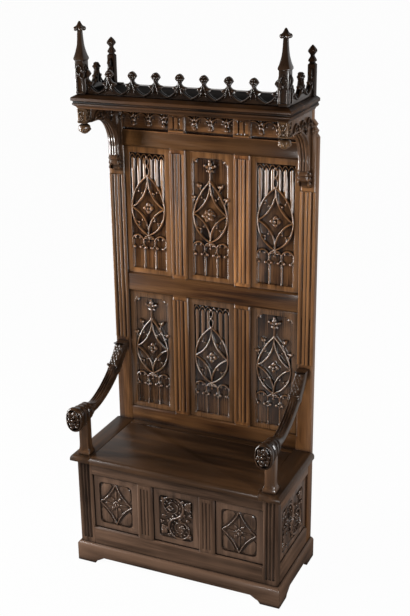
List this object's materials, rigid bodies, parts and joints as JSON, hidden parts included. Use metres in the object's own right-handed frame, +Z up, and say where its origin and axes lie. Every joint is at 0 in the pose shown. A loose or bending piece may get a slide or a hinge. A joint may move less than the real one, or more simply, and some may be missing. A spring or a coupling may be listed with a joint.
{
  "type": "chest bench",
  "caption": "Tall neo-Gothic chest bench in dark wood: a hinged seat lid over a panelled chest, curved arms, a tracery-panelled back and a crested canopy.",
  "frame": {"origin": "on the floor, at the centre of the bench's outer box", "axes": "+Z up, -Y out of the seat's front, +X to the right as seen from the front"},
  "size_m": [0.875, 0.452, 2.115],
  "materials": {
    "frame_wood": "waxed, semi-gloss",
    "panel_wood": "waxed, semi-gloss",
    "seat_wood": "waxed, glossy",
    "canopy_wood": "waxed, semi-gloss",
    "hidden_wood": "plain sawn",
    "dark_iron": "darkened"
  },
  "bodies": {
    "carcass": {"arm_left": "frame_wood", "arm_post_left": "frame_wood", "arm_post_right": "frame_wood", "arm_right": "frame_wood", "back_bottom_rail": "frame_wood", "back_head_board": "frame_wood", "back_middle_rail": "frame_wood", "back_muntin_lower_left": "frame_wood", "back_muntin_lower_right": "frame_wood", "back_muntin_upper_left": "frame_wood", "back_muntin_upper_right": "frame_wood", "back_panel_lower_centre": "panel_wood", "back_panel_lower_left": "panel_wood", "back_panel_lower_right": "panel_wood", "back_panel_upper_centre": "panel_wood", "back_panel_upper_left": "panel_wood", "back_panel_upper_right": "panel_wood", "back_stile_left": "frame_wood", "back_stile_right": "frame_wood", "back_top_rail": "frame_wood", "canopy_board": "canopy_wood", "canopy_bracket_left": "canopy_wood", "canopy_bracket_right": "canopy_wood", "chest_back_board": "hidden_wood", "chest_floor": "hidden_wood", "chest_front_bottom_rail": "frame_wood", "chest_front_muntin_left": "frame_wood", "chest_front_muntin_right": "frame_wood", "chest_front_panel_centre": "panel_wood", "chest_front_panel_left": "panel_wood", "chest_front_panel_right": "panel_wood", "chest_front_top_rail": "frame_wood", "chest_post_front_left": "frame_wood", "chest_post_front_right": "frame_wood", "chest_side_bottom_rail_left": "frame_wood", "chest_side_bottom_rail_right": "frame_wood", "chest_side_panel_left": "panel_wood", "chest_side_panel_right": "panel_wood", "chest_side_top_rail_left": "frame_wood", "chest_side_top_rail_right": "frame_wood", "cornice_moulding": "canopy_wood", "crest_front": "canopy_wood", "crest_left": "canopy_wood", "crest_right": "canopy_wood", "hinge_fixed_leaf_left": "dark_iron", "hinge_fixed_leaf_right": "dark_iron", "pendant_left": "canopy_wood", "pendant_right": "canopy_wood", "pinnacle_front_left": "canopy_wood", "pinnacle_front_right": "canopy_wood", "plinth_front": "frame_wood", "plinth_left": "frame_wood", "plinth_right": "frame_wood", "seat_end_left": "seat_wood", "seat_end_right": "seat_wood", "seat_hinge_rail": "seat_wood"},
    "lid": {"seat_lid": "seat_wood", "hinge_lid_leaf_left": "dark_iron", "hinge_lid_leaf_right": "dark_iron"}
  },
  "joints": [
    {"name": "lid_hinge", "type": "hinge", "parent": "carcass", "child": "lid", "pos_m": [0, 0.1617, 0.48], "axis": [-1, 0, 0], "range_deg": [0, 95]}
  ]
}
